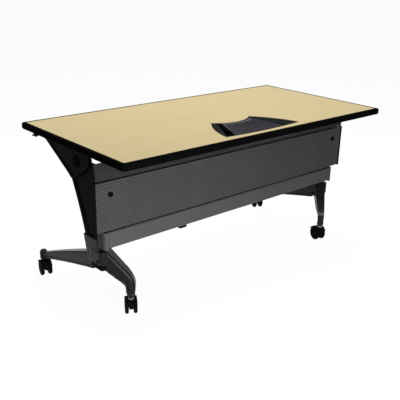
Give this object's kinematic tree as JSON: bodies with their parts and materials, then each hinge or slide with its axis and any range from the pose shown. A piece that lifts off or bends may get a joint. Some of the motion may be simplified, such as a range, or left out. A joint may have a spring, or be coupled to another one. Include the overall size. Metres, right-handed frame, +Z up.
{
  "type": "flip top training table",
  "caption": "Rectangular laminate table whose top flips up on cast legs, with a ribbed modesty panel, crossbeam, lidded cable port and twin-wheel casters.",
  "frame": {"origin": "on the floor below the middle of the top", "axes": "+X along the table's length, +Y towards the user's side, +Z up; the modesty panel is on the -Y side"},
  "size_m": [1.524, 0.7724, 0.7275],
  "materials": {
    "laminate": "satin wood-grain laminate on a board core",
    "edge_black": "black edge band",
    "port_plastic": "bluish charcoal moulded plastic",
    "black_plastic": "fine-grained black moulded plastic",
    "black_paint": "satin black powder coat",
    "cast_paint": "dark metallic grey paint on cast metal",
    "grey_paint": "metallic grey paint on an extrusion",
    "steel": "plated steel",
    "wheel_nylon": "black nylon wheel"
  },
  "bodies": {
    "base": {"modesty_panel": "grey_paint", "upper_rail": "grey_paint", "crossbeam": "grey_paint", "beam_clip": "black_plastic", "left_column": "black_paint", "left_pivot_bush": "steel", "left_pivot_pin": "black_paint", "left_panel_end": "black_plastic", "left_panel_knob": "black_plastic", "left_beam_cap": "cast_paint", "left_foot": "cast_paint", "left_foot_plug": "black_plastic", "right_column": "black_paint", "right_pivot_bush": "steel", "right_pivot_pin": "black_paint", "right_panel_end": "black_plastic", "right_panel_knob": "black_plastic", "right_beam_cap": "cast_paint", "right_foot": "cast_paint", "right_foot_plug": "black_plastic", "panel_left_caster_stem": "steel", "panel_right_caster_stem": "steel", "user_left_caster_stem": "steel", "user_right_caster_stem": "steel"},
    "top": {"worktop": "laminate", "edge_band": "edge_black", "port_bezel": "port_plastic", "port_well": "port_plastic", "lid_pin": "steel", "left_top_bracket": "black_paint", "left_lock_housing": "black_plastic", "left_paddle_block": "black_plastic", "right_top_bracket": "black_paint", "right_lock_housing": "black_plastic", "right_paddle_block": "black_plastic"},
    "port_lid": {"port_lid": "port_plastic"},
    "left_paddle": {"left_release_paddle": "black_plastic"},
    "left_rod": {"left_release_rod": "steel"},
    "right_paddle": {"right_release_paddle": "black_plastic"},
    "right_rod": {"right_release_rod": "steel"},
    "panel_left_caster": {"panel_left_caster_hood": "black_plastic", "panel_left_caster_axle": "steel"},
    "panel_left_wheel_a": {"panel_left_caster_wheel_a": "wheel_nylon"},
    "panel_left_wheel_b": {"panel_left_caster_wheel_b": "wheel_nylon"},
    "panel_right_caster": {"panel_right_caster_hood": "black_plastic", "panel_right_caster_axle": "steel"},
    "panel_right_wheel_a": {"panel_right_caster_wheel_a": "wheel_nylon"},
    "panel_right_wheel_b": {"panel_right_caster_wheel_b": "wheel_nylon"},
    "user_left_caster": {"user_left_caster_hood": "black_plastic", "user_left_caster_axle": "steel"},
    "user_left_wheel_a": {"user_left_caster_wheel_a": "wheel_nylon"},
    "user_left_wheel_b": {"user_left_caster_wheel_b": "wheel_nylon"},
    "user_right_caster": {"user_right_caster_hood": "black_plastic", "user_right_caster_axle": "steel"},
    "user_right_wheel_a": {"user_right_caster_wheel_a": "wheel_nylon"},
    "user_right_wheel_b": {"user_right_caster_wheel_b": "wheel_nylon"}
  },
  "joints": [
    {"name": "flip", "type": "hinge", "parent": "base", "child": "top", "pos_m": [0, 0.016, 0.632], "axis": [-1, 0, 0], "range_deg": [0, 90]},
    {"name": "lid_lift", "type": "hinge", "parent": "top", "child": "port_lid", "pos_m": [0, -0.309, 0.7099], "axis": [1, 0, 0], "range_deg": [0, 100]},
    {"name": "left_paddle_squeeze", "type": "hinge", "parent": "top", "child": "left_paddle", "pos_m": [-0.684, 0.319, 0.6761], "axis": [1, 0, 0], "range_deg": [0, 15], "stiffness_Nm_per_rad": 0.4, "springref_deg": -5.73},
    {"name": "left_rod_pull", "type": "slide", "parent": "top", "child": "left_rod", "axis": [0, 1, 0], "range_m": [0, 0.00312]},
    {"name": "right_paddle_squeeze", "type": "hinge", "parent": "top", "child": "right_paddle", "pos_m": [0.684, 0.319, 0.6761], "axis": [1, 0, 0], "range_deg": [0, 15], "stiffness_Nm_per_rad": 0.4, "springref_deg": -5.73},
    {"name": "right_rod_pull", "type": "slide", "parent": "top", "child": "right_rod", "axis": [0, 1, 0], "range_m": [0, 0.00312]},
    {"name": "panel_left_swivel", "type": "hinge", "parent": "base", "child": "panel_left_caster", "pos_m": [-0.612, -0.2, 0.0745], "axis": [0, 0, 1], "continuous": true},
    {"name": "panel_left_roll_a", "type": "hinge", "parent": "panel_left_caster", "child": "panel_left_wheel_a", "pos_m": [-0.6045, -0.18701, 0.035], "axis": [0.866, -0.5, 0], "continuous": true},
    {"name": "panel_left_roll_b", "type": "hinge", "parent": "panel_left_caster", "child": "panel_left_wheel_b", "pos_m": [-0.6045, -0.18701, 0.035], "axis": [0.866, -0.5, 0], "continuous": true},
    {"name": "panel_right_swivel", "type": "hinge", "parent": "base", "child": "panel_right_caster", "pos_m": [0.612, -0.2, 0.0745], "axis": [0, 0, 1], "continuous": true},
    {"name": "panel_right_roll_a", "type": "hinge", "parent": "panel_right_caster", "child": "panel_right_wheel_a", "pos_m": [0.61588, -0.18551, 0.035], "axis": [0.9659, -0.2588, 0], "continuous": true},
    {"name": "panel_right_roll_b", "type": "hinge", "parent": "panel_right_caster", "child": "panel_right_wheel_b", "pos_m": [0.61588, -0.18551, 0.035], "axis": [0.9659, -0.2588, 0], "continuous": true},
    {"name": "user_left_swivel", "type": "hinge", "parent": "base", "child": "user_left_caster", "pos_m": [-0.707, 0.362, 0.0745], "axis": [0, 0, 1], "continuous": true},
    {"name": "user_left_roll_a", "type": "hinge", "parent": "user_left_caster", "child": "user_left_wheel_a", "pos_m": [-0.71063, 0.34745, 0.035], "axis": [-0.9703, 0.2419, 0], "continuous": true},
    {"name": "user_left_roll_b", "type": "hinge", "parent": "user_left_caster", "child": "user_left_wheel_b", "pos_m": [-0.71063, 0.34745, 0.035], "axis": [-0.9703, 0.2419, 0], "continuous": true},
    {"name": "user_right_swivel", "type": "hinge", "parent": "base", "child": "user_right_caster", "pos_m": [0.707, 0.362, 0.0745], "axis": [0, 0, 1], "continuous": true},
    {"name": "user_right_roll_a", "type": "hinge", "parent": "user_right_caster", "child": "user_right_wheel_a", "pos_m": [0.70066, 0.34841, 0.035], "axis": [-0.9063, 0.4226, 0], "continuous": true},
    {"name": "user_right_roll_b", "type": "hinge", "parent": "user_right_caster", "child": "user_right_wheel_b", "pos_m": [0.70066, 0.34841, 0.035], "axis": [-0.9063, 0.4226, 0], "continuous": true}
  ],
  "couplings": [
    {"joint": "left_rod_pull", "follows": "left_paddle_squeeze", "m_per_rad": 0.0119},
    {"joint": "right_rod_pull", "follows": "right_paddle_squeeze", "m_per_rad": 0.0119}
  ]
}
